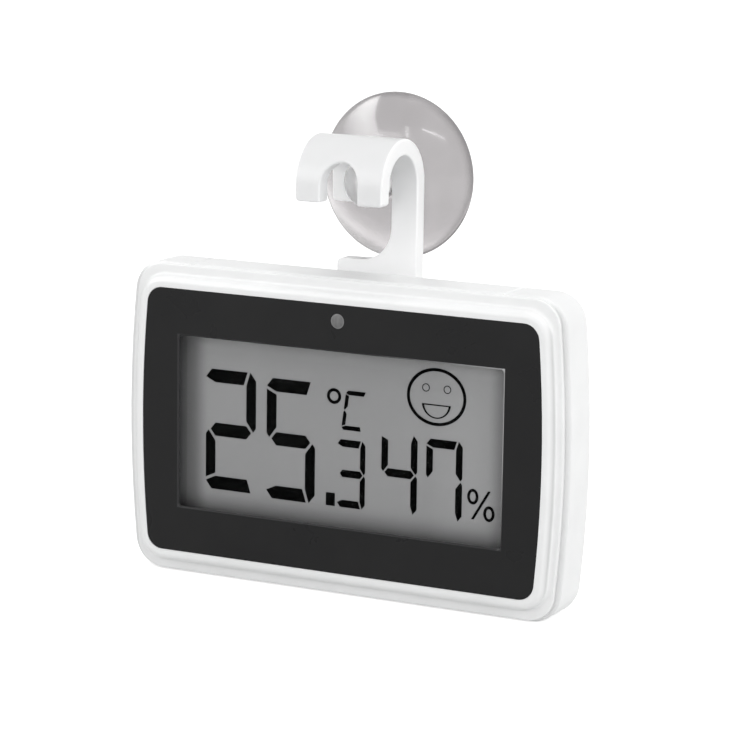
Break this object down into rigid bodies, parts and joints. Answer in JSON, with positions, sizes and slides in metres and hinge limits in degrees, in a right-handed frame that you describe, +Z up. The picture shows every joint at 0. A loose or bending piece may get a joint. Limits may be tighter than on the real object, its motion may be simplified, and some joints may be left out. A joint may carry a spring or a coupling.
{
  "type": "temperature humidity sensor",
  "caption": "White rounded room temperature and humidity sensor with a grey liquid crystal display in a dark panel, and a clip-on hanger with a suction cup.",
  "frame": {"origin": "middle of the casing's flat underside, half way between its front and back", "axes": "+X to the viewer's right when looking at the display, +Y to the back, +Z up"},
  "size_m": [0.1, 0.0269, 0.1003],
  "materials": {
    "white_casing": "moulded white plastic, fine satin grain",
    "dark_panel": "dark grey printed sheet, smooth satin",
    "clear_pane": "clear flat window",
    "display_glass": "thin display glass",
    "display_dark": "opaque display marks",
    "display_grey": "grey reflector film",
    "black_rubber": "soft contact strip",
    "frame_plastic": "moulded holder",
    "lamp_grey": "diffused lamp body",
    "tinned_steel": "tinned",
    "board_green": "solder-masked board",
    "black_epoxy": "potting over the chip",
    "crystal_can": "small metal can",
    "part_black": "moulded switch and chip bodies",
    "nickel": "nickel-plated contact spring",
    "zinc_screw": "plated screws",
    "cell_steel": "bright metal can ends",
    "cell_sleeve": "plain blue sleeve",
    "button_grey": "moulded keys",
    "hanger_plastic": "translucent white plastic",
    "clear_vinyl": "soft clear vinyl, slightly smoky"
  },
  "bodies": {
    "housing": {"front_shell": "white_casing", "back_shell": "white_casing", "front_panel": "dark_panel", "window_pane": "clear_pane", "lcd_front_glass": "display_glass", "lcd_marks": "display_dark", "lcd_rear_glass": "display_glass", "lcd_reflector": "display_grey", "lcd_connector": "black_rubber", "lcd_holder": "frame_plastic", "alarm_lamp": "lamp_grey", "lamp_leads": "tinned_steel", "circuit_board": "board_green", "board_chip": "black_epoxy", "clock_crystal": "crystal_can", "air_sensor": "part_black", "board_passives": "part_black", "switch_housings": "part_black", "selector_body": "part_black", "board_screws": "zinc_screw", "case_screws": "zinc_screw", "battery_cell": "cell_steel", "battery_sleeve": "cell_sleeve", "contact_positive": "nickel", "contact_negative": "nickel"},
    "selector": {"selector_knob": "button_grey"},
    "door": {"battery_door": "white_casing"},
    "hanger_arm": {"hanger": "hanger_plastic"},
    "cup": {"suction_cup": "clear_vinyl"},
    "key_1": {"button_1": "button_grey", "plunger_1": "part_black"},
    "key_2": {"button_2": "button_grey", "plunger_2": "part_black"},
    "key_3": {"button_3": "button_grey", "plunger_3": "part_black"}
  },
  "joints": [
    {"name": "hanger_slide", "type": "slide", "parent": "housing", "child": "hanger_arm", "axis": [0, 0, 1], "range_m": [0, 0.012]},
    {"name": "cup_swivel", "type": "hinge", "parent": "hanger_arm", "child": "cup", "pos_m": [0, 0.0078, 0.08325], "axis": [0, 1, 0], "continuous": true},
    {"name": "door_hinge", "type": "hinge", "parent": "housing", "child": "door", "pos_m": [0, 0.0095, 0.00565], "axis": [-1, 0, 0], "range_deg": [0, 55]},
    {"name": "selector_slide", "type": "slide", "parent": "housing", "child": "selector", "axis": [0, 0, 1], "range_m": [0, 0.0025]},
    {"name": "key_1_press", "type": "slide", "parent": "housing", "child": "key_1", "axis": [0, -1, 0], "range_m": [0, 0.0005], "stiffness_N_per_m": 800, "springref_m": -0.0005},
    {"name": "key_2_press", "type": "slide", "parent": "housing", "child": "key_2", "axis": [0, -1, 0], "range_m": [0, 0.0005], "stiffness_N_per_m": 800, "springref_m": -0.0005},
    {"name": "key_3_press", "type": "slide", "parent": "housing", "child": "key_3", "axis": [0, -1, 0], "range_m": [0, 0.0005], "stiffness_N_per_m": 800, "springref_m": -0.0005}
  ]
}
